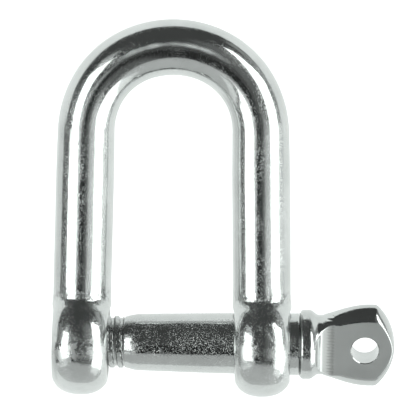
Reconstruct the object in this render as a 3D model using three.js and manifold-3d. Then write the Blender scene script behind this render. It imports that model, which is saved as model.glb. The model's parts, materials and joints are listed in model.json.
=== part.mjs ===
// Screw-pin D shackle in polished stainless steel, millimetres, +Z up.
// Origin: on the pin's axis, midway between the two ears.
// +X runs along the pin towards its head, +Z towards the crown.
// The pin stands as it is used before the last turn: its collar is one turn short of the ear.

import * as THREE from 'three';
import { ParametricGeometry } from 'three/addons/geometries/ParametricGeometry.js';
import { mergeVertices } from 'three/addons/utils/BufferGeometryUtils.js';
import Module from 'manifold-3d';

const wasm = await Module();
wasm.setup();

// Driving dimensions of the body.
const barRadius = 5;
const crownBarRadius = 4.8;         // the bar is drawn a little thinner round the bend
const crownRadius = 15;             // from the crown's centre to the bar's centreline
const crownFullness = 0.19;         // how far the bend bulges past a true arc at 45 degrees
const crownCentreZ = 36.3;
const legLean = THREE.MathUtils.degToRad(1.05);  // each leg opens this much towards its ear
const earRadius = 9.2;
const earHalfWidth = 5.3;
const earWidthExponent = 2.2;       // these two shape the ear's rim; see earReach
const earRadiusExponent = 4.8;
const shoulderBlend = 1;            // band over which ear and leg run into each other
const plainBoreRadius = 5.6;

// Driving dimensions of the screw pin.
const threadPitch = 1.5;
const threadRadius = 4.9;
const threadRootRadius = 4.05;
const threadCrestWidth = 0.19;
const threadRootWidth = 1.17;       // of one ridge, where it meets the core
const threadClearance = 0.3;        // radial, between the pin's thread and the ear's
const flankClearance = 0.17;        // along the axis
const tipX = -18.8;
const tipChamfer = 1.1;
const threadEndX = -8.2;
const lastCrestRadius = 4.5;        // the thread is turned down to this beside the shank
const runOutX = -12;                // the turning down starts here
const shankFullX = -5.2;            // the shank's rounded lead-in ends here
const shankStartRadius = 4.55;
const shankNearRadius = 4.9;        // at the lead-in
const shankFarRadius = 5.35;        // at the collar
const collarX = 22.2;
const collarRadius = 6;
const collarEdge = 0.35;
const collarWidth = 2.1;
const neckRadius = 5.15;
const neckStartX = 25.6;
const eyeFlankX = 26;               // the flanks of the eye start to open here
const eyeWidestX = 34.2;
const eyeEndX = 38.5;
const eyeHalfHeight = 7.4;
const eyeBlankHalfDepth = 3.8;      // the rounded blank, before its two sides are cut flat
const eyeEndRadius = 10.3;
const eyeCornerBlend = 0.4;
const plateHalfThickness = 2.6;
const scoopRadius = 3.4;            // of the hollow between the collar and the flat side
const scoopEndX = 28.2;
const eyeHoleX = 33.4;
const eyeHoleRadius = 2.38;
const eyeTurn = THREE.MathUtils.degToRad(12);    // the plate is turned this far about the pin

// Fineness.
const bodySides = 36;
const earSteps = 12;
const shoulderSteps = 10;
const crownSteps = 26;
const pinSides = 24;                // also the steps in one turn of the thread
const headSides = 32;
const flankSteps = 8;
const curveSteps = 5;

function steel(color, roughness) {
  return new THREE.MeshStandardMaterial({ color, roughness, metalness: 1 });
}

// A closed geometry as a solid. Triangles that collapse at a pole are left out.
function solidFrom(geometry) {
  const bare = geometry.clone();
  bare.deleteAttribute('normal');
  bare.deleteAttribute('uv');
  const merged = mergeVertices(bare, 1e-4);
  const index = merged.index.array;
  const triangles = [];
  for (let i = 0; i < index.length; i += 3) {
    const [a, b, c] = index.slice(i, i + 3);
    if (a !== b && b !== c && c !== a) triangles.push(a, b, c);
  }
  return new wasm.Manifold(new wasm.Mesh({
    numProp: 3,
    vertProperties: new Float32Array(merged.attributes.position.array),
    triVerts: new Uint32Array(triangles),
  }));
}

function geometryFrom(solid) {
  const mesh = solid.getMesh();
  const geometry = new THREE.BufferGeometry();
  geometry.setAttribute('position', new THREE.BufferAttribute(mesh.vertProperties, 3));
  geometry.setIndex(new THREE.BufferAttribute(mesh.triVerts, 1));
  geometry.computeVertexNormals();
  return geometry;
}

function named(name, solid, material) {
  const mesh = new THREE.Mesh(geometryFrom(solid), material);
  mesh.name = name;
  return mesh;
}

// The larger of a and b, with the corner between them rounded over a band this wide.
function smoothMax(a, b, band) {
  const overlap = Math.max(band - Math.abs(a - b), 0) / band;
  return Math.max(a, b) + overlap * overlap * band / 4;
}

function smoothMin(a, b, band) {
  return -smoothMax(-a, -b, band);
}

// A round solid about the X axis from (x, radius) points, both ends on the axis.
function turned(points) {
  const profile = points.map(([x, radius]) => new THREE.Vector2(radius, x));
  const geometry = new THREE.LatheGeometry(profile, pinSides);
  return solidFrom(geometry.rotateZ(-Math.PI / 2));
}

// A cylinder along X between two places.
function barAlongX(startX, endX, radius) {
  return turned([[startX, 0], [startX, radius], [endX, radius], [endX, 0]]);
}

// A skin of rings along stations; ring(station, angle) gives a point. The end rings are points.
function skinned(stations, sides, ring) {
  const steps = stations.length - 1;
  const place = (u, v, target) => {
    target.copy(ring(stations[Math.round(v * steps)], u * 2 * Math.PI));
  };
  return solidFrom(new ParametricGeometry(place, sides, steps));
}

// ---------------------------------------------------------------- shackle body

// Straight leg length from the pin's level to the start of the crown.
const legLength = (crownCentreZ + crownRadius * Math.sin(legLean)) / Math.cos(legLean);
const crownSweep = Math.PI - 2 * legLean;

// How far the ear's surface is from its centreline at height s, in the direction of an angle.
// The ear is a drum about the pin with |x / halfWidth|^a + (distance from pin / radius)^b = 1.
function earReach(s, angle) {
  if (Math.abs(s) >= earRadius) return 0;
  const across = Math.abs(Math.cos(angle)) / earHalfWidth;
  let inside = 0;
  let outside = earRadius;
  for (let halving = 0; halving < 20; halving += 1) {
    const middle = (inside + outside) / 2;
    const fromPin = Math.hypot(middle * Math.sin(angle), s) / earRadius;
    const level = (middle * across) ** earWidthExponent + fromPin ** earRadiusExponent;
    if (level < 1) inside = middle;
    else outside = middle;
  }
  return inside;
}

// How far the body's surface is from its centreline: the ear below, then the round bar.
function bodyReach(s, angle) {
  const ear = earReach(s, angle);
  if (s <= 0) return ear;
  const thinning = THREE.MathUtils.smoothstep(s, legLength - earRadius, legLength + earRadius);
  const bar = THREE.MathUtils.lerp(barRadius, crownBarRadius, thinning);
  return smoothMax(ear, bar, shoulderBlend * THREE.MathUtils.smoothstep(s, 0, barRadius));
}

// Where the right-hand half's centreline is, and which way is outwards, at distance s.
function spineAt(s) {
  const along = Math.max(s - legLength, 0) / crownRadius;
  const angle = legLean + along;
  const outward = new THREE.Vector3(Math.cos(angle), 0, Math.sin(angle));
  const upward = new THREE.Vector3(-Math.sin(angle), 0, Math.cos(angle));
  const bulge = crownFullness * Math.sin(2 * angle) ** 2;
  const point = outward.clone().multiplyScalar(crownRadius + (along > 0 ? bulge : 0));
  point.z += crownCentreZ;
  return { point: point.addScaledVector(upward, Math.min(s - legLength, 0)), outward };
}

// Stations from the right ear's lowest point, round the crown, to the left ear's.
function bodyStations() {
  const rising = [];
  for (let i = 0; i < earSteps; i += 1) {
    rising.push(-earRadius * Math.cos(i / earSteps * Math.PI / 2));
  }
  for (let i = 0; i < curveSteps; i += 1) {
    rising.push(barRadius * i / curveSteps);
  }
  for (let i = 0; i <= shoulderSteps; i += 1) {
    rising.push(THREE.MathUtils.lerp(barRadius, earRadius, i / shoulderSteps));
  }
  rising.push(legLength / 2, legLength);
  const total = 2 * legLength + crownSweep * crownRadius;
  const crown = [];
  for (let i = 1; i < crownSteps; i += 1) {
    crown.push(legLength + crownSweep * crownRadius * i / crownSteps);
  }
  return [...rising, ...crown, ...rising.map((s) => total - s).reverse()];
}

function bodyRing(s, angle) {
  const total = 2 * legLength + crownSweep * crownRadius;
  const mirrored = s > total / 2;
  const reach = mirrored ? total - s : s;
  const radius = bodyReach(reach, angle);
  const { point, outward } = spineAt(reach);
  point.addScaledVector(outward, radius * Math.cos(angle));
  point.y += radius * Math.sin(angle);
  if (mirrored) point.x *= -1;
  return point;
}

// ---------------------------------------------------------------- thread

// One helical ridge about the X axis, winding as a right-hand thread, its ends sunk to a point.
function ridge(startX, endX, rootRadius, crestRadius, rootWidth, crestWidth) {
  const turns = (endX - startX) / threadPitch;
  const steps = Math.round(turns * pinSides);
  const sunk = rootRadius - threadClearance;
  const corners = [
    [rootWidth / 2, sunk],
    [rootWidth / 2, rootRadius],
    [crestWidth / 2, crestRadius],
    [-crestWidth / 2, crestRadius],
    [-rootWidth / 2, rootRadius],
    [-rootWidth / 2, sunk],
  ];
  const place = (u, v, target) => {
    const step = Math.round(v * steps);
    const angle = step / pinSides * 2 * Math.PI;
    const end = step === 0 || step === steps;
    const corner = corners[Math.round(u * corners.length) % corners.length];
    const [offset, radius] = end ? [0, sunk] : corner;
    const x = startX + step / pinSides * threadPitch + offset;
    target.set(x, radius * Math.cos(angle), radius * Math.sin(angle));
  };
  return solidFrom(new ParametricGeometry(place, corners.length, steps));
}

const ridgeStartX = tipX - threadPitch;
const ridgeEndX = threadEndX - threadPitch / 2;

function pinThread() {
  const core = barAlongX(tipX, threadEndX, threadRootRadius);
  const winding = ridge(
    ridgeStartX, ridgeEndX, threadRootRadius, threadRadius, threadRootWidth, threadCrestWidth);
  const clearRadius = threadRadius + threadClearance;
  const envelope = turned([
    [tipX, 0],
    [tipX, threadRadius - tipChamfer],
    [tipX + tipChamfer + threadClearance, clearRadius],
    [runOutX, clearRadius],
    [runOutX + threadPitch, lastCrestRadius],
    [threadEndX, lastCrestRadius],
    [threadEndX, 0],
  ]);
  return core.add(winding).intersect(envelope);
}

// What the tap takes out of the left ear: the pin's thread, a little larger all round.
function tappedHole() {
  const endX = -barRadius;
  const startX = -(crownRadius + 2 * barRadius);
  const turnsBefore = Math.ceil((ridgeStartX - startX) / threadPitch);
  const turnsAfter = Math.ceil((endX - ridgeEndX) / threadPitch);
  const radius = threadRootRadius + threadClearance;
  const slope = (threadRootWidth - threadCrestWidth) / (threadRadius - threadRootRadius);
  const rootWidth = threadRootWidth - slope * threadClearance + 2 * flankClearance;
  const crestWidth = threadCrestWidth - slope * threadClearance + 2 * flankClearance;
  const groove = ridge(
    ridgeStartX - turnsBefore * threadPitch, ridgeEndX + turnsAfter * threadPitch,
    radius, threadRadius + threadClearance, rootWidth, crestWidth);
  return barAlongX(startX, endX, radius).add(groove);
}

function shackleBody() {
  const forging = skinned(bodyStations(), bodySides, bodyRing);
  const bore = barAlongX(barRadius, crownRadius + 2 * barRadius, plainBoreRadius);
  return forging.subtract(bore).subtract(tappedHole());
}

// ---------------------------------------------------------------- pin shank and head

// Points of a profile that rises from one place to another and levels off at the end.
function levellingOff([startX, startRadius], [endX, endRadius]) {
  const points = [];
  for (let i = 0; i <= curveSteps; i += 1) {
    const share = i / curveSteps;
    points.push([
      THREE.MathUtils.lerp(startX, endX, share),
      THREE.MathUtils.lerp(startRadius, endRadius, Math.sin(share * Math.PI / 2)),
    ]);
  }
  return points;
}

function pinShank() {
  const full = [shankFullX, shankNearRadius];
  return turned([
    [threadEndX, 0],
    ...levellingOff([threadEndX, shankStartRadius], full),
    ...levellingOff(full, [collarX, shankFarRadius]).slice(1),
    [collarX, 0],
  ]);
}

// Half the eye's height at x, square to the pin, seen on its flat side.
function eyeHeightAt(x) {
  const opening = THREE.MathUtils.clamp((x - eyeFlankX) / (eyeWidestX - eyeFlankX), 0, 1);
  const flank = neckRadius + (eyeHalfHeight - neckRadius) * Math.sin(opening * Math.PI / 2);
  const fromCentre = x - (eyeEndX - eyeEndRadius);
  if (fromCentre < 0) return flank;
  const nose = Math.sqrt(Math.max(eyeEndRadius ** 2 - fromCentre ** 2, 0));
  return Math.max(smoothMin(flank, nose, eyeCornerBlend), 0);
}

// Half the depth of the rounded blank that the eye is cut from.
function eyeDepthAt(x) {
  const thinning = THREE.MathUtils.smoothstep(x, neckStartX, eyeFlankX + scoopRadius);
  const depth = THREE.MathUtils.lerp(neckRadius, eyeBlankHalfDepth, thinning);
  return x < eyeWidestX ? depth : depth * (eyeHeightAt(x) / eyeHalfHeight) ** 0.4;
}

// The collar with its rounded outer edge, running down into the neck.
function collar() {
  const points = [
    [collarX, 0],
    [collarX, collarRadius - collarEdge],
    [collarX + collarEdge, collarRadius],
  ];
  const flowX = collarX + collarWidth - collarEdge;
  for (let i = 0; i <= curveSteps; i += 1) {
    const share = i / curveSteps;
    const drop = THREE.MathUtils.smootherstep(share, 0, 1);
    points.push([
      THREE.MathUtils.lerp(flowX, neckStartX, share),
      THREE.MathUtils.lerp(collarRadius, neckRadius, drop),
    ]);
  }
  points.push([neckStartX, 0]);
  return turned(points);
}

// The rounded blank of the eye, starting inside the collar.
function eyeBlank() {
  const places = [neckStartX - collarWidth / 2, neckStartX, eyeFlankX];
  for (let i = 1; i <= flankSteps; i += 1) {
    places.push(THREE.MathUtils.lerp(eyeFlankX, eyeWidestX, i / flankSteps));
  }
  for (let i = 1; i <= flankSteps; i += 1) {
    const share = Math.sin(i / flankSteps * Math.PI / 2);
    places.push(THREE.MathUtils.lerp(eyeWidestX, eyeEndX, share));
  }
  const rings = places.map((x) => ({ x, depth: eyeDepthAt(x), height: eyeHeightAt(x) }));
  const stations = [{ x: places[0], depth: 0, height: 0 }, ...rings];
  return skinned(stations, headSides, ({ x, depth, height }, angle) => (
    new THREE.Vector3(x, depth * Math.cos(angle), height * Math.sin(angle))
  ));
}

// What leaves one flat side of the eye and the hollow where it meets the neck.
function scoop(side) {
  const clear = 2 * collarRadius;
  const outline = new THREE.Shape();
  outline.moveTo(scoopEndX - scoopRadius, -clear);
  outline.lineTo(scoopEndX - scoopRadius, -plateHalfThickness - scoopRadius);
  outline.absarc(
    scoopEndX, -plateHalfThickness - scoopRadius, scoopRadius, Math.PI, Math.PI / 2, true);
  outline.lineTo(eyeEndX + clear, -plateHalfThickness);
  outline.lineTo(eyeEndX + clear, -clear);
  const block = new THREE.ExtrudeGeometry(outline, {
    depth: 2 * clear, bevelEnabled: false, curveSegments: 2 * curveSteps,
  });
  block.translate(0, 0, -clear);
  if (side > 0) block.rotateX(Math.PI);
  return solidFrom(block);
}

function eyeHole() {
  const hole = new THREE.CylinderGeometry(eyeHoleRadius, eyeHoleRadius, 2 * collarRadius, pinSides);
  return solidFrom(hole.translate(eyeHoleX, 0, 0));
}

function pinHead() {
  return eyeBlank()
    .add(collar())
    .subtract(scoop(-1))
    .subtract(scoop(1))
    .subtract(eyeHole());
}

// ---------------------------------------------------------------- assembly

const shackle = new THREE.Group();
shackle.add(named('shackle_body', shackleBody(), steel('#c6cac8', 0.14)));

const screwPin = new THREE.Group();
screwPin.add(named('pin_shank', pinShank(), steel('#c2c6c4', 0.18)));
screwPin.add(named('pin_thread', pinThread(), steel('#b9bdbb', 0.28)));
const head = named('pin_head', pinHead(), steel('#c8ccca', 0.16));
head.rotation.x = eyeTurn;
screwPin.add(head);
shackle.add(screwPin);

export default shackle;
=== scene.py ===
"""The look of a screw-pin D shackle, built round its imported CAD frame. Metres, +Z up.

The CAD solids are faceted, so both forgings are made again here as fine, smooth meshes: the
shackle body, and the screw pin in one piece from thread to eye. The main sizes are read from the
frame and the rest are set below. A few edges are rounder than the CAD's.
"""

import json

from math import atan2, cos, hypot, pi, radians, sin, sqrt

import bpy
from mathutils import Matrix, Vector, noise


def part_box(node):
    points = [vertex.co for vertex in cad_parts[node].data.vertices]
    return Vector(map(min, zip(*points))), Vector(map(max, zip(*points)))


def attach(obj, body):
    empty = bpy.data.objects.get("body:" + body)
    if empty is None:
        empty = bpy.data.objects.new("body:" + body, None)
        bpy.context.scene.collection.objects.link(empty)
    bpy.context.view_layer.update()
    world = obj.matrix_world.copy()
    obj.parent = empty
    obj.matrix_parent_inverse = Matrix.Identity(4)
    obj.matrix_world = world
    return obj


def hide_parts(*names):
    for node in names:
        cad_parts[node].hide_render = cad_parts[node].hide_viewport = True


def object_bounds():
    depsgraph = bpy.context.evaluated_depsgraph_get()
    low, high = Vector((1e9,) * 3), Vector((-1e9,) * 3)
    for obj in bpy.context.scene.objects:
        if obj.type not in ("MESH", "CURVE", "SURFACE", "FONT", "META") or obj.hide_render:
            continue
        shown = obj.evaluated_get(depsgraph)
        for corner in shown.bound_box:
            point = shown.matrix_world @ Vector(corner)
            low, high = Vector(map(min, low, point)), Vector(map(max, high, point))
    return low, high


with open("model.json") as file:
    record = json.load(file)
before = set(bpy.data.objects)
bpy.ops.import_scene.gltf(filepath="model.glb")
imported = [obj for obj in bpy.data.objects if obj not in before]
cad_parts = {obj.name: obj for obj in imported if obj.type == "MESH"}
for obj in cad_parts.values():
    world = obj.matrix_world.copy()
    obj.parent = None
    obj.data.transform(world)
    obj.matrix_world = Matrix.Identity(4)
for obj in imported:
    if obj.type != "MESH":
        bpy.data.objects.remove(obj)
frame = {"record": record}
cad_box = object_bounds()

MM = 0.001

# ---------------------------------------------------------------- sizes from the frame

body_low, body_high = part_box("shackle_body")
thread_low, thread_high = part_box("pin_thread")
_, shank_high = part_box("pin_shank")
head_low, head_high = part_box("pin_head")


def eye_turn():
    """How far the eye is turned about the pin, from the direction its front face looks."""
    axis = next(m["axis"] for m in frame["record"]["mounts"] if m["name"] == "eye_front")
    return atan2(-axis[2], -axis[1])


EAR = body_high.y
TIP_X = thread_low.x
THREAD_END_X = thread_high.x
COLLAR_X = head_low.x
EYE_END_X = head_high.x
SHANK_FAR = shank_high.z
EYE_TURN = eye_turn()

# ---------------------------------------------------------------- sizes of the finer shape

BAR = 5 * MM
CROWN_BAR = 4.8 * MM
CROWN = 3 * BAR
CROWN_FULLNESS = 0.19 * MM
CROWN_Z = body_high.z - CROWN - CROWN_BAR
LEAN = radians(1.05)
EAR_HALF_WIDTH = 5.3 * MM
EAR_WIDTH_EXPONENT = 2.2
EAR_RADIUS_EXPONENT = 4.8
SHOULDER = 1.0 * MM
BORE = 5.6 * MM
LIP = 1.25 * MM

PITCH = 1.5 * MM
THREAD = 4.9 * MM
ROOT = 4.05 * MM
CREST_WIDTH = 0.19 * MM
ROOT_WIDTH = 1.17 * MM
TAP_CLEARANCE = 0.25 * MM
TIP_CHAMFER = 1.1 * MM
LAST_CREST = 4.5 * MM
LAST_ROOT = 4.15 * MM
RUN_OUT_X = THREAD_END_X - 3.8 * MM
SHANK_START = 4.4 * MM
SHANK_NEAR = 4.9 * MM
LEAD_IN = 3.0 * MM

COLLAR = 6 * MM
COLLAR_EDGE = 0.6 * MM
COLLAR_WIDTH = 2.1 * MM
NECK = 5.15 * MM
NECK_X = COLLAR_X + 3.4 * MM
FLANK_X = COLLAR_X + 3.8 * MM
WIDEST_X = COLLAR_X + 12 * MM
EYE_HALF_HEIGHT = 7.4 * MM
EYE_HALF_DEPTH = 3.8 * MM
EYE_END_RADIUS = 10.3 * MM
EYE_CORNER = 0.4 * MM
PLATE = 2.6 * MM
PLATE_EDGE = 0.14 * MM
SCOOP = 3.4 * MM
SCOOP_X = COLLAR_X + 6 * MM
HOLE_X = EYE_END_X - 5.1 * MM
HOLE = 2.38 * MM
HOLE_EDGE = 0.12 * MM

CREST_ROUNDING = 0.08 * MM
ROOT_ROUNDING = 0.12 * MM

# The rough patches where ear and leg meet rise and fade between these heights above the pin.
PATCH_RISE = (6.9 * MM, 7.9 * MM)
PATCH_FADE = (8.9 * MM, 10.3 * MM)
PATCH_DEPTH = 0.06 * MM

BODY_SIDES = 200
PIN_SIDES = 168
RINGS_PER_TURN = 22
TAP_RINGS_PER_TURN = 14

# ---------------------------------------------------------------- small helpers


def lerp(a, b, share):
    return a + (b - a) * share


def clamp(value):
    return max(0.0, min(1.0, value))


def smoothstep(value, low, high):
    share = clamp((value - low) / (high - low))
    return share * share * (3 - 2 * share)


def smooth_max(a, b, band):
    """The larger of a and b, with the corner between them rounded over a band."""
    overlap = max(band - abs(a - b), 0) / band
    return max(a, b) + overlap * overlap * band / 4


def smooth_min(a, b, band):
    return -smooth_max(-a, -b, band)


def steps(start, end, count):
    """Evenly spaced places from start up to, but not including, end."""
    return [lerp(start, end, i / count) for i in range(count)]


def ring_mesh(name, rings):
    """A closed mesh through rings of points, its two ends closed by a fan to a middle point."""
    sides = len(rings[0])
    verts = [p for ring in rings for p in ring]
    faces = []
    for r in range(len(rings) - 1):
        for i in range(sides):
            j = (i + 1) % sides
            faces.append((r * sides + i, r * sides + j, (r + 1) * sides + j, (r + 1) * sides + i))
    for ring, flip in ((0, True), (len(rings) - 1, False)):
        middle = len(verts)
        verts.append(sum(rings[ring], Vector()) / sides)
        for i in range(sides):
            a = ring * sides + i
            b = ring * sides + (i + 1) % sides
            faces.append((b, a, middle) if flip else (a, b, middle))
    mesh = bpy.data.meshes.new(name)
    mesh.from_pydata(verts, [], faces)
    mesh.update()
    piece = bpy.data.objects.new(name, mesh)
    bpy.context.scene.collection.objects.link(piece)
    return piece


def round_ring(x, radius):
    angles = steps(0, 2 * pi, PIN_SIDES)
    return [Vector((x, radius * cos(a), radius * sin(a))) for a in angles]


def cut(piece, cutter):
    """Takes the cutter out of the piece, and the cutter out of the scene."""
    modifier = piece.modifiers.new("cut", "BOOLEAN")
    modifier.operation = "DIFFERENCE"
    modifier.solver = "EXACT"
    modifier.object = cutter
    bpy.context.view_layer.update()
    ready = piece.evaluated_get(bpy.context.evaluated_depsgraph_get())
    mesh = bpy.data.meshes.new_from_object(ready)
    piece.modifiers.clear()
    piece.data = mesh
    bpy.data.objects.remove(cutter)


def smooth(piece, angle):
    piece.data.shade_smooth()
    piece.data.set_sharp_from_angle(angle=radians(angle))


# ---------------------------------------------------------------- shackle body

LEG = (CROWN_Z + CROWN * sin(LEAN)) / cos(LEAN)
SWEEP = pi - 2 * LEAN
SPINE = 2 * LEG + SWEEP * CROWN


def spine_at(s):
    """Centreline point and outward direction of the right half, s up from the pin's level."""
    angle = LEAN + max(s - LEG, 0) / CROWN
    outward = Vector((cos(angle), 0, sin(angle)))
    upward = Vector((-sin(angle), 0, cos(angle)))
    radius = CROWN + (CROWN_FULLNESS * sin(2 * angle) ** 2 if s > LEG else 0)
    return Vector((0, 0, CROWN_Z)) + outward * radius + upward * min(s - LEG, 0), outward


def ear_reach(s, angle):
    """How far the ear's surface is from its centreline at height s, in the direction of an angle.

    The ear is a drum about the pin: |x / half width|^a + (distance from pin / radius)^b = 1.
    """
    if abs(s) >= EAR:
        return 0
    across = abs(cos(angle)) / EAR_HALF_WIDTH
    inside = 0
    outside = EAR
    for _ in range(18):
        middle = (inside + outside) / 2
        from_pin = hypot(middle * sin(angle), s) / EAR
        level = (middle * across) ** EAR_WIDTH_EXPONENT + from_pin**EAR_RADIUS_EXPONENT
        if level < 1:
            inside = middle
        else:
            outside = middle
    return inside


def body_reach(s, angle):
    """How far the body's surface is from its centreline: the ear below, then the round bar."""
    ear = ear_reach(s, angle)
    if s <= 0:
        return ear
    bar = lerp(BAR, CROWN_BAR, smoothstep(s, LEG - EAR, LEG + EAR))
    return smooth_max(ear, bar, SHOULDER * smoothstep(s, 0, BAR))


def lip_depth(distance):
    """How far the face is rounded off beside a bore, at a distance from the pin's axis."""
    share = clamp((BORE + LIP - distance) / LIP)
    return LIP * (1 - sqrt(1 - share * share))


def forging_wave(p, s):
    """Slow unevenness left by hand polishing, more of it on the ears, as a height."""
    slow = 0.016 * noise.noise(p / (7 * MM)) + 0.005 * noise.noise(p / (2.6 * MM))
    ear = 1 - smoothstep(s, 0.6 * EAR, 1.2 * EAR)
    ear *= smoothstep(hypot(p.y, p.z), COLLAR, 1.25 * COLLAR)
    dents = 0.07 * noise.noise(p / (3.4 * MM)) + 0.02 * noise.noise(p / (1.3 * MM))
    return MM * (slow + ear * dents)


def forging_marks(p, s):
    """Rough ground patches where ear and leg meet, front and back, as a height."""
    band = smoothstep(s, *PATCH_RISE) * (1 - smoothstep(s, *PATCH_FADE))
    facing = smoothstep(abs(p.y), 0.4 * BAR, BAR)
    rough = noise.noise(p / (0.9 * MM)) + 0.6 * noise.noise(p / (0.45 * MM))
    return PATCH_DEPTH * band * facing * rough


def body_ring(s):
    """One ring of the body at distance s from the right ear's pin level, over to the left."""
    mirrored = s > SPINE / 2
    near = SPINE - s if mirrored else s
    centre, outward = spine_at(near)
    ring = []
    for angle in steps(0, 2 * pi, BODY_SIDES):
        radius = body_reach(near, angle)
        away = outward * cos(angle) + Vector((0, sin(angle), 0))
        point = centre + away * radius
        side = 1 if cos(angle) > 0 else -1
        point.x -= side * lip_depth(hypot(point.y, point.z))
        if mirrored:
            point.x *= -1
            away.x *= -1
        ring.append(point + away * (forging_wave(point, near) + forging_marks(point, near)))
    return ring


def body_places():
    """Where the body's rings stand, from the right ear's foot over the crown to the left's."""
    rising = [-EAR * cos(share * pi / 2) for share in steps(0.03, 0.55, 26)]
    rising += steps(-EAR * cos(0.55 * pi / 2), BAR, 44)
    rising += steps(BAR, EAR, 42)
    rising += steps(EAR, LEG, 28)
    crown = steps(LEG, LEG + SWEEP * CROWN, 150)
    return rising + crown + [SPINE - s for s in [LEG, *reversed(rising)]]


def thread_radius(x, angle, root=ROOT):
    """Radius of the thread at x, with ridges a pitch apart, winding right-handed."""
    turns = (x - TIP_X) / PITCH - angle / (2 * pi)
    off = abs(turns - round(turns)) * PITCH
    slope = (THREAD - ROOT) / ((ROOT_WIDTH - CREST_WIDTH) / 2)
    flank = THREAD - (off - CREST_WIDTH / 2) * slope
    return smooth_max(smooth_min(flank, THREAD, CREST_ROUNDING), root, ROOT_ROUNDING)


def tapped_cutter(start, end):
    """What the tap takes out of the left ear."""
    rings = []
    for x in steps(start, end, int((end - start) / PITCH * TAP_RINGS_PER_TURN)) + [end]:
        radii = [thread_radius(x, a) + TAP_CLEARANCE for a in steps(0, 2 * pi, PIN_SIDES)]
        angles = steps(0, 2 * pi, PIN_SIDES)
        rings.append([Vector((x, r * cos(a), r * sin(a))) for r, a in zip(radii, angles)])
    return ring_mesh("tap", rings)


def shackle_body():
    body = ring_mesh("shackle_forging", [body_ring(s) for s in body_places()])
    outside = CROWN + 2 * BAR
    cut(body, ring_mesh("drill", [round_ring(CROWN / 3, BORE), round_ring(outside, BORE)]))
    cut(body, tapped_cutter(-outside, -CROWN / 3))
    smooth(body, 32)
    return body


# ---------------------------------------------------------------- screw pin


def thread_ring(x):
    """One ring of the thread, with its chamfered tip and its run-out beside the shank."""
    running_out = smoothstep(x, RUN_OUT_X, RUN_OUT_X + PITCH)
    limit = min(THREAD - TIP_CHAMFER + (x - TIP_X), lerp(THREAD, LAST_CREST, running_out))
    root = lerp(ROOT, LAST_ROOT, running_out)
    ring = []
    for angle in steps(0, 2 * pi, PIN_SIDES):
        radius = min(thread_radius(x, angle, root), limit)
        ring.append(Vector((x, radius * cos(angle), radius * sin(angle))))
    return ring


def tip_rings():
    """Rings that fill the pin's flat end."""
    first = thread_ring(TIP_X)
    rings = []
    for share in (0.3, 0.6, 0.85):
        rings.append([Vector((TIP_X, p.y * share, p.z * share)) for p in first])
    return rings


def shank_profile():
    """The shank's (x, radius) points: a short relief, a rounded lead-in, then a slow swell."""
    start = THREAD_END_X
    profile = [(start + 0.02 * MM, LAST_ROOT), (start + 0.1 * MM, LAST_ROOT)]
    for share in steps(0, 1, 28):
        x = lerp(start + 0.16 * MM, start + LEAD_IN, share)
        profile.append((x, lerp(SHANK_START, SHANK_NEAR, sin(share * pi / 2))))
    for share in steps(0, 1, 100):
        x = lerp(start + LEAD_IN, COLLAR_X - 0.2 * MM, share)
        profile.append((x, lerp(SHANK_NEAR, SHANK_FAR, sin(share * pi / 2))))
    return profile


def collar_profile():
    """From the shank's small fillet up round the collar's edge and down towards the neck."""
    fillet = 0.2 * MM
    profile = []
    for turn in steps(0, pi / 2, 6):
        profile.append((COLLAR_X - fillet * cos(turn), SHANK_FAR + fillet * (1 - cos(turn))))
    for turn in steps(0, pi / 2, 12):
        x = COLLAR_X + COLLAR_EDGE * (1 - cos(turn))
        profile.append((x, COLLAR - COLLAR_EDGE * (1 - sin(turn))))
    flow = COLLAR_X + COLLAR_WIDTH - COLLAR_EDGE
    profile += [(x, COLLAR) for x in steps(COLLAR_X + COLLAR_EDGE, flow, 5)]
    for share in steps(0, 1, 26):
        drop = share**3 * (share * (share * 6 - 15) + 10)
        profile.append((lerp(flow, NECK_X, share), lerp(COLLAR, NECK, drop)))
    return profile


def eye_height(x):
    """Half the eye's height at x: flanks that open out, then a round nose."""
    opening = clamp((x - FLANK_X) / (WIDEST_X - FLANK_X))
    flank = lerp(NECK, EYE_HALF_HEIGHT, sin(opening * pi / 2))
    from_centre = x - (EYE_END_X - EYE_END_RADIUS)
    if from_centre < 0:
        return flank
    nose = sqrt(max(EYE_END_RADIUS**2 - from_centre**2, 0))
    return max(smooth_min(flank, nose, EYE_CORNER), 0)


def eye_depth(x):
    """Half the eye's depth at x, before its two sides are cut flat."""
    depth = lerp(NECK, EYE_HALF_DEPTH, smoothstep(x, NECK_X, FLANK_X + SCOOP))
    return depth if x < WIDEST_X else depth * (eye_height(x) / EYE_HALF_HEIGHT) ** 0.4


def plate_limit(x):
    """How far the eye's two sides may stand from its middle plane at x."""
    if x >= SCOOP_X:
        return PLATE
    if x <= SCOOP_X - SCOOP:
        return 2 * COLLAR
    return PLATE + SCOOP - sqrt(SCOOP**2 - (SCOOP_X - x) ** 2)


def head_ring(x, height, depth):
    """An ellipse with two sides cut flat, turned about the pin."""
    limit = plate_limit(x)
    turn = Matrix.Rotation(EYE_TURN, 4, "X")
    ring = []
    for angle in steps(0, 2 * pi, PIN_SIDES):
        side = 1 if cos(angle) > 0 else -1
        y = side * max(smooth_min(depth * abs(cos(angle)), limit, PLATE_EDGE), 0)
        ring.append(turn @ Vector((x, y, height * sin(angle))))
    return ring


def eye_places():
    """Where the rings of the scoop, the flat plate and the nose stand."""
    scoop = [SCOOP_X - SCOOP * cos(share * pi / 2) for share in steps(0, 1, 40)]
    scoop = [x for x in scoop if x > NECK_X]
    nose = EYE_END_X - WIDEST_X
    plate = steps(SCOOP_X, WIDEST_X, 50)
    return scoop + plate + [WIDEST_X + nose * sin(a) for a in steps(0, 0.49 * pi, 50)]


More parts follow.
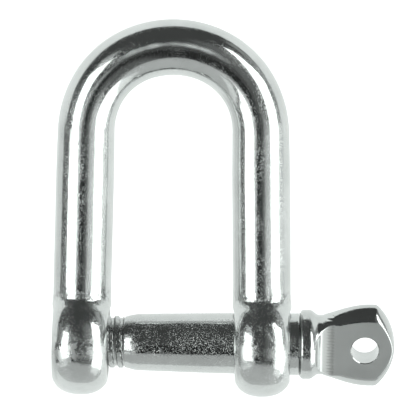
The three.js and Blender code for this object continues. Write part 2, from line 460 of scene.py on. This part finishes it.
def hole_cutter():
    """A cylinder through the eye with a small chamfer at each mouth."""
    wide = HOLE + PLATE + HOLE_EDGE
    profile = [(-2 * PLATE, wide), (HOLE_EDGE - PLATE, HOLE), (PLATE - HOLE_EDGE, HOLE)]
    rings = [round_ring(x, r) for x, r in [*profile, (2 * PLATE, wide)]]
    stand = Matrix.Rotation(EYE_TURN, 4, "X") @ Matrix.Translation((HOLE_X, 0, 0))
    stand = stand @ Matrix.Rotation(pi / 2, 4, "Z")
    return ring_mesh("hole", [[stand @ p for p in ring] for ring in rings])


def screw_pin():
    threads = steps(TIP_X, THREAD_END_X, int((THREAD_END_X - TIP_X) / PITCH * RINGS_PER_TURN))
    rings = tip_rings() + [thread_ring(x) for x in threads]
    rings += [round_ring(x, r) for x, r in shank_profile()]
    rings += [head_ring(x, r, r) for x, r in collar_profile()]
    rings += [head_ring(x, eye_height(x), eye_depth(x)) for x in eye_places()]
    pin = ring_mesh("screw_pin", rings)
    cut(pin, hole_cutter())
    smooth(pin, 34)
    return pin


# ---------------------------------------------------------------- materials

BODY_METAL = (0.67, 0.68, 0.675)
PIN_METAL = (0.62, 0.63, 0.625)
# Dark grey mixed in for stains, and for the painted shade round the body's bores.
STAIN_AND_SHADE_METAL = (0.25, 0.25, 0.245)
BODY_ROUGHNESS = 0.07
PIN_ROUGHNESS = 0.08
RUBBED_ROUGHNESS = 0.46
CLOUDY_ROUGHNESS = 0.26
GRIT_SIZE = 0.18 * MM
LEG_GRIT_DEPTH = 0.02 * MM
CROWN_GRIT_DEPTH = 0.009 * MM
PIN_GRIT_DEPTH = 0.023 * MM
BELT_LINE_WIDTH = 0.14 * MM
BELT_LINE_DEPTH = 0.025 * MM
TICK_SPACING = 0.55 * MM
TICK_DEPTH = 0.022 * MM
PATCH_LOW = 7.6 * MM
PATCH_HIGH = 9.2 * MM
CLOUDY_LOW = -2.4 * MM
CLOUDY_HIGH = 2.6 * MM


class Nodes:
    """Short calls for building a node tree."""

    def __init__(self, tree):
        self.tree = tree
        tree.nodes.clear()

    def add(self, kind, inputs=(), **settings):
        node = self.tree.nodes.new(kind)
        for key, value in settings.items():
            setattr(node, key, value)
        for socket, value in dict(inputs).items():
            self.feed(node.inputs[socket], value)
        return node

    def feed(self, socket, value):
        if isinstance(value, bpy.types.NodeSocket):
            self.tree.links.new(value, socket)
        else:
            socket.default_value = value

    def math(self, operation, a, b=0.0):
        return self.add("ShaderNodeMath", {0: a, 1: b}, operation=operation).outputs[0]

    def times(self, a, b):
        return self.math("MULTIPLY", a, b)

    def ramp(self, value, low, high, to_low=0.0, to_high=1.0):
        node = self.add(
            "ShaderNodeMapRange",
            {0: value, 1: low, 2: high, 3: to_low, 4: to_high},
            interpolation_type="SMOOTHSTEP",
        )
        return node.outputs[0]

    def band(self, value, low, high, soft):
        """1 between low and high and 0 outside, with soft edges."""
        rise = self.ramp(value, low - soft, low + soft)
        return self.times(rise, self.ramp(value, high - soft, high + soft, 1.0, 0.0))

    def mix(self, share, a, b):
        node = self.add("ShaderNodeMix", {0: share, 6: a, 7: b}, data_type="RGBA")
        return node.outputs[2]

    def noise(self, place, size, detail=3.0, roughness=0.55):
        """Noise whose features are about this size, in metres."""
        inputs = {"Vector": place, "Scale": 1 / size, "Detail": detail, "Roughness": roughness}
        return self.add("ShaderNodeTexNoise", inputs).outputs[0]

    def bump(self, height, distance, under=None):
        inputs = {"Height": height, "Strength": 1.0, "Distance": distance}
        node = self.add("ShaderNodeBump", inputs)
        if under:
            self.feed(node.inputs["Normal"], under)
        return node.outputs[0]


def grit(n, place, under, depth):
    """Sparse fine pits of the polishing grit, each steep enough to glint."""
    pits = n.ramp(n.noise(place, GRIT_SIZE, 1, 0.5), 0.52, 0.73)
    patches = n.ramp(n.noise(place, 4 * MM, 2), 0.3, 0.7, 0.4, 1.0)
    return n.bump(n.times(pits, patches), depth, under)


def polished(n, place, colour, roughness, dull, stain_and_shade):
    """Metal with a patchy tone and gloss, dull where the dull mask is 1 and darkened where the
    other mask is 1, for stains and painted shade.
    """
    tone = n.ramp(n.noise(place, 9 * MM, 4), 0.35, 0.65)
    dark = [c * 0.9 for c in colour]
    base = n.mix(tone, (*dark, 1), (*colour, 1))
    base = n.mix(n.times(stain_and_shade, 0.6), base, (*STAIN_AND_SHADE_METAL, 1))
    smear = n.times(n.noise(place, 3 * MM, 5, 0.6), roughness * 0.7)
    fine = n.times(n.noise(place, 0.35 * MM, 3), roughness * 0.3)
    rough = n.math("ADD", n.math("ADD", roughness * 0.5, smear), fine)
    rough = n.math("ADD", rough, n.times(dull, 0.4))
    return {"Base Color": base, "Metallic": 1.0, "Roughness": rough}


def steel(name):
    material = bpy.data.materials.new(name)
    material.use_nodes = True
    n = Nodes(material.node_tree)
    place = n.add("ShaderNodeTexCoord").outputs["Object"]
    along = n.add("ShaderNodeSeparateXYZ", {0: place}).outputs
    return material, n, place, along


def finish_material(n, inputs, normal):
    shader = n.add("ShaderNodeBsdfPrincipled", {**inputs, "Normal": normal})
    n.add("ShaderNodeOutputMaterial", {"Surface": shader.outputs[0]})


def body_steel():
    """Polished forging: belt marks on the crown, cloudy ears, dull bores with painted shade in and
    round them, dull patches.
    """
    material, n, place, (x, y, z) = steel("body_steel")
    distance = n.math("SQRT", n.math("ADD", n.times(y, y), n.times(z, z)))
    in_bore = n.ramp(distance, BORE - 0.1 * MM, BORE + 0.1 * MM, 1.0, 0.0)
    shoulder = n.band(z, PATCH_LOW, PATCH_HIGH, 0.7 * MM)
    patchy = n.ramp(n.noise(place, 1.1 * MM, 4, 0.65), 0.48, 0.6)
    dull = n.math("MAXIMUM", in_bore, n.times(shoulder, patchy))
    # Painted shade: the ear faces darken towards each bore, where shade falls between ear and pin.
    # It joins the darkening of the dull patches.
    painted_bore_shade = n.ramp(distance, BORE + 0.2 * MM, BORE + 1.1 * MM, 1.0, 0.0)
    stain_and_shade = n.math("MAXIMUM", n.times(dull, 0.6), painted_bore_shade)
    cloudy = n.ramp(n.noise(place, 2.2 * MM, 4, 0.6), 0.4, 0.62)
    cloudy = n.times(cloudy, n.band(z, CLOUDY_LOW, CLOUDY_HIGH, 1.2 * MM))

    wavy = n.bump(n.noise(place, 1.3 * MM, 3, 0.6), 0.009 * MM)
    up = n.math("SUBTRACT", z, CROWN_Z)
    pit_depth = n.ramp(up, 0, 0.8 * CROWN, LEG_GRIT_DEPTH, CROWN_GRIT_DEPTH)
    gritty = grit(n, place, wavy, pit_depth)
    out = n.math("SQRT", n.math("ADD", n.times(x, x), n.times(up, up)))
    rubbed = n.band(out, CROWN + 0.6 * MM, CROWN + 1.4 * MM, 0.45 * MM)
    uneven = n.ramp(n.noise(place, 2.5 * MM, 3, 0.5), 0.3, 0.7, 0.6, 1.0)
    worn = n.times(n.times(rubbed, uneven), n.ramp(up, 0.7 * CROWN, 0.98 * CROWN))
    bend = n.times(n.math("ARCTAN2", up, x), CROWN)
    belt = n.add("ShaderNodeCombineXYZ", {0: bend, 1: n.times(y, 0.1)})
    lines = n.noise(belt.outputs[0], BELT_LINE_WIDTH, 2, 0.6)
    belted = n.bump(n.times(lines, worn), BELT_LINE_DEPTH, gritty)
    metal = polished(n, place, BODY_METAL, BODY_ROUGHNESS, n.times(dull, 0.45), stain_and_shade)
    for mask, roughness in ((worn, RUBBED_ROUGHNESS), (cloudy, CLOUDY_ROUGHNESS)):
        metal["Roughness"] = n.math("ADD", metal["Roughness"], n.times(mask, roughness))
    metal["Anisotropic"] = n.times(worn, 0.9)
    round_crown = n.add("ShaderNodeTangent", direction_type="RADIAL", axis="Y")
    metal["Tangent"] = round_crown.outputs[0]
    finish_material(n, metal, belted)
    return material


def pin_steel():
    """Polished pin: gritty shank, dull thread, matt milled flats with cutter ticks."""
    material, n, place, (x, _, z) = steel("pin_steel")
    thread = n.ramp(x, THREAD_END_X - 0.1 * MM, THREAD_END_X + 0.3 * MM, 1.0, 0.0)
    facing = n.add("ShaderNodeTexCoord").outputs["Normal"]
    upright = (0, -sin(EYE_TURN), cos(EYE_TURN))
    flank = n.add("ShaderNodeVectorMath", {0: facing, 1: upright}, operation="DOT_PRODUCT")
    level = n.ramp(n.math("ABSOLUTE", flank.outputs["Value"]), 0.05, 0.2, 1.0, 0.0)
    forward = n.add("ShaderNodeSeparateXYZ", {0: facing}).outputs[0]
    milled = n.times(level, n.ramp(forward, 0.55, 0.85, 1.0, 0.0))
    milled = n.times(milled, n.ramp(x, NECK_X, NECK_X + 0.5 * MM))
    scoop = n.times(milled, n.ramp(x, SCOOP_X - 0.4 * MM, SCOOP_X, 1.0, 0.0))
    dull = n.math("ADD", n.times(thread, 0.2), n.math("ADD", milled, n.times(scoop, 0.2)))
    stain_and_shade = n.math("MAXIMUM", n.times(thread, 0.3), scoop)

    wavy = n.bump(n.noise(place, 1.1 * MM, 2, 0.5), 0.005 * MM)
    on_shank = n.ramp(x, COLLAR_X, NECK_X, 1.0, 0.3)
    gritty = grit(n, place, wavy, n.times(on_shank, PIN_GRIT_DEPTH))
    ticks = n.math("SINE", n.times(z, 2 * pi / TICK_SPACING))
    edge = n.band(x, SCOOP_X - 1.4 * MM, SCOOP_X - 0.2 * MM, 0.2 * MM)
    ticked = n.bump(n.times(ticks, edge), TICK_DEPTH, gritty)
    metal = polished(n, place, PIN_METAL, PIN_ROUGHNESS, dull, stain_and_shade)
    finish_material(n, metal, ticked)
    return material


def dress(piece, material, body, slot, *nodes):
    piece.data.materials.clear()
    piece.data.materials.append(material)
    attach(piece, body)
    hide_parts(*nodes)


# ---------------------------------------------------------------- studio

CAMERA_AZIMUTH = radians(1.05)
CAMERA_ELEVATION = radians(8)
CAMERA_ROLL = radians(0.59)
CAMERA_DISTANCE = 700 * MM
VIEW_WIDTH = 71.6 * MM
AIM_LEFT = 2.72 * MM
AIM_UP = 0.12 * MM
FLOOR_DROP = 45 * MM

# Brightness of the room's parts, where 1 is the white of the picture.
DARK_ROOM = 0.07
BACKDROP = 1.02
WINDOW = 2.8

# The backdrop fills what lies behind a leaning plane, and fades in between these two distances.
BACKDROP_LEAN = 0.27
BACKDROP_EDGE = (-0.12, 0.02)

# Soft patches of the room, each painted over the ones before it. They were fitted to what the
# shackle mirrors in the photograph, so they suit this one view. The words beside them only
# tell them apart. Each has azimuths, elevations, a level and the softness of its edge, with
# angles in degrees, azimuth 0 towards the camera and positive azimuths on the picture's right.
OVER_CAMERA = ((8, 38), (0, 42), 0.16, 5)
PATCHES = (
    ((77, 96), (-3, 60), 0.32, 4),  # wall beyond the right window
    ((-135, -72), (-38, -4), 0.8, 5),  # pale wall at the far left
    ((-86, -60), (0, 24), 0.14, 4),  # dark strip beyond the left window
    ((-98, -64), (-28, 1), 0.13, 4),  # its lower, wider part
    ((72, 104), (-16, 2), 0.8, 4),  # pale strip at the far right
    ((-105, 110), (-100, -36), 0.57, 4),  # grey table, down to straight below
    ((-30, -9), (-38, 2), 0.72, 4),  # pale patch below the camera, left
    ((-2, 40), (-40, -2), 0.14, 4),  # dark patch below the camera, right
    ((15, 40), (-18, -3), 0.75, 6),  # pale strip on it
    ((-19, 3), (-37, -3), 0.03, 4),  # darkest place, between those two
    ((-78, -32), (-42, -32), 0.95, 2),  # lit edge of the table, left
    ((-53, -34), (22, 38), 0.5, 3),  # the left window's dim top
    ((-58, -29), (-26, 25), WINDOW, 2),  # left window
    ((-66, -27), (-26, -4), WINDOW, 2),  # its wider lower part
    ((42, 88), (-60, -40), 1.1, 4),  # light on the table, right
    ((37, 96), (-42, -12), WINDOW, 3),  # low light on the right
)

# The right window, whose top slopes down beyond SLOPE_START.
RIGHT_WINDOW = (39, 76)
RIGHT_WINDOW_FOOT = (-20, -16)
RIGHT_WINDOW_TOP = (45, 49)
SLOPE_START = 50
SLOPE = 0.8

ROOM_WOBBLE = 0.07
FLOOR_GLOW = 0.62


def grey(level):
    """A grey with a trace of green."""
    return (level * 0.97, level * 1.02, level, 1)


def studio_room(n, azimuth, elevation, behind):
    """What the shackle mirrors, by direction: a dark room with two windows, and a backdrop."""

    def paint(room, across, upright, level, soft):
        wide = n.band(azimuth, radians(across[0]), radians(across[1]), radians(soft))
        tall = n.band(elevation, radians(upright[0]), radians(upright[1]), radians(soft))
        return n.mix(n.times(wide, tall), room, grey(level))

    room = paint(grey(DARK_ROOM), *OVER_CAMERA)
    room = n.mix(n.ramp(behind, *BACKDROP_EDGE), room, grey(BACKDROP))
    for patch in PATCHES:
        room = paint(room, *patch)

    beyond = n.math("MAXIMUM", n.math("SUBTRACT", azimuth, radians(SLOPE_START)), 0.0)
    raised = n.math("ADD", elevation, n.times(beyond, SLOPE))
    top = n.ramp(raised, *map(radians, RIGHT_WINDOW_TOP), 1.0, 0.0)
    right = n.times(n.band(azimuth, *map(radians, RIGHT_WINDOW), radians(2)), top)
    above = n.ramp(elevation, *map(radians, RIGHT_WINDOW_FOOT))
    return n.mix(n.times(right, above), room, grey(WINDOW))


def studio_world():
    """The room for reflections, its edges a little uneven. The camera sees a near white instead."""
    world = bpy.data.worlds.new("studio")
    bpy.context.scene.world = world
    world.use_nodes = True
    n = Nodes(world.node_tree)
    way = n.add("ShaderNodeTexCoord").outputs["Generated"]
    uneven = n.add("ShaderNodeTexNoise", {"Vector": way, "Scale": 5.0, "Detail": 4.0}).outputs[1]
    offset = n.add("ShaderNodeVectorMath", {0: uneven, 1: (0.5, 0.5, 0.5)}, operation="SUBTRACT")
    scaled = n.add("ShaderNodeVectorMath", {0: offset.outputs[0]}, operation="SCALE")
    scaled.inputs["Scale"].default_value = ROOM_WOBBLE
    moved = n.add("ShaderNodeVectorMath", {0: way, 1: scaled.outputs[0]}, operation="ADD")
    x, y, z = n.add("ShaderNodeSeparateXYZ", {0: moved.outputs[0]}).outputs
    azimuth = n.math("ARCTAN2", x, n.times(y, -1.0))
    elevation = n.math("ARCSINE", z)
    behind = n.math("SUBTRACT", y, n.times(z, BACKDROP_LEAN))
    room = studio_room(n, azimuth, elevation, behind)
    seen = n.add("ShaderNodeLightPath").outputs["Is Camera Ray"]
    surface = n.add("ShaderNodeBackground", {"Color": n.mix(seen, room, grey(1.0))})
    n.add("ShaderNodeOutputWorld", {"Surface": surface.outputs[0]})


def pale_floor():
    """A pale floor below the shackle, with a glow of its own to stay white. Nothing mirrors it."""
    size = 4.0
    level = body_low.z - FLOOR_DROP
    mesh = bpy.data.meshes.new("floor")
    corners = [(-size, -size), (size, -size), (size, size), (-size, size)]
    mesh.from_pydata([(x, y, level) for x, y in corners], [], [(0, 1, 2, 3)])
    floor = bpy.data.objects.new("floor", mesh)
    bpy.context.scene.collection.objects.link(floor)
    floor.visible_glossy = False
    material = bpy.data.materials.new("floor_white")
    material.use_nodes = True
    n = Nodes(material.node_tree)
    place = n.add("ShaderNodeTexCoord").outputs["Object"]
    shade = n.noise(place, 300 * MM, 2)
    tone = n.mix(shade, (0.9, 0.9, 0.9, 1), (0.93, 0.93, 0.93, 1))
    matt = n.add("ShaderNodeBsdfDiffuse", {"Color": tone})
    glow = n.add("ShaderNodeEmission", {"Color": (1, 1, 1, 1), "Strength": FLOOR_GLOW})
    both = n.add("ShaderNodeAddShader", {0: matt.outputs[0], 1: glow.outputs[0]})
    n.add("ShaderNodeOutputMaterial", {"Surface": both.outputs[0]})
    mesh.materials.append(material)


def camera():
    azimuth, elevation = CAMERA_AZIMUTH, CAMERA_ELEVATION
    back = Vector(
        (sin(azimuth) * cos(elevation), -cos(azimuth) * cos(elevation), sin(elevation)))
    low, high = cad_box
    aim = (low + high) / 2 + Vector((-AIM_LEFT, 0, AIM_UP))
    data = bpy.data.cameras.new("camera")
    data.lens = data.sensor_width * CAMERA_DISTANCE / VIEW_WIDTH
    data.clip_start = CAMERA_DISTANCE / 10
    data.clip_end = 20
    view = bpy.data.objects.new("camera", data)
    bpy.context.scene.collection.objects.link(view)
    look = (-back).to_track_quat("-Z", "Y").to_matrix().to_4x4()
    roll = Matrix.Rotation(CAMERA_ROLL, 4, "Z")
    view.matrix_world = Matrix.Translation(aim + back * CAMERA_DISTANCE) @ look @ roll
    bpy.context.scene.camera = view


def view_transform():
    bpy.context.scene.view_settings.view_transform = "Standard"
    bpy.context.scene.view_settings.look = "None"


# ---------------------------------------------------------------- assembly

dress(shackle_body(), body_steel(), "shackle", "body_steel", "shackle_body")
dress(screw_pin(), pin_steel(), "screw_pin", "head_steel", "pin_shank", "pin_thread", "pin_head")
studio_world()
pale_floor()
camera()
view_transform()
